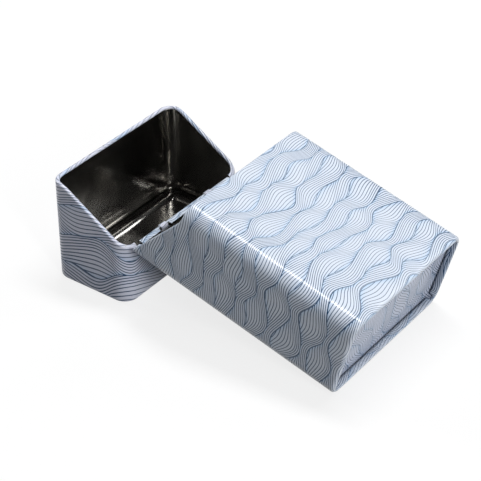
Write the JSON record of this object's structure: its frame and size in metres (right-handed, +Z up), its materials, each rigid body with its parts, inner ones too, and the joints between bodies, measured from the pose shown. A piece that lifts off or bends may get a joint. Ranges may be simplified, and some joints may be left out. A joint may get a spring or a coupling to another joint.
{
  "type": "cigarette case",
  "caption": "Open flip-top tinplate cigarette case with slanted curled mouths, a hinge rolled round a wire, hemmed ends and fine printed line bundles.",
  "frame": {"origin": "middle of the bounding box's footprint, on the table that the open case stands on", "axes": "+X from the hinge towards the base of the leaning case, along the longest extent; +Y along the hinge; +Z up"},
  "size_m": [0.1064, 0.056, 0.0422],
  "materials": {
    "printed_sheet": "pale blue printed lines on bluish white, satin varnish",
    "printed_lid": "pale blue printed lines on bluish white, satin varnish",
    "printed_base": "greyish blue printed lines, satin varnish",
    "bare_tinplate": "bare glossy tinplate",
    "steel_wire": "drawn wire"
  },
  "bodies": {
    "lid": {"lid_shell": "printed_lid", "lid_panel": "bare_tinplate"},
    "case": {"body_shell": "printed_sheet", "base_panel": "printed_base", "hinge_wire": "steel_wire"}
  },
  "joints": [
    {"name": "lid_hinge", "type": "hinge", "parent": "lid", "child": "case", "pos_m": [-0.02509, 0, 0.0191], "axis": [0, 1, 0], "range_deg": [-105.12, 5]}
  ]
}
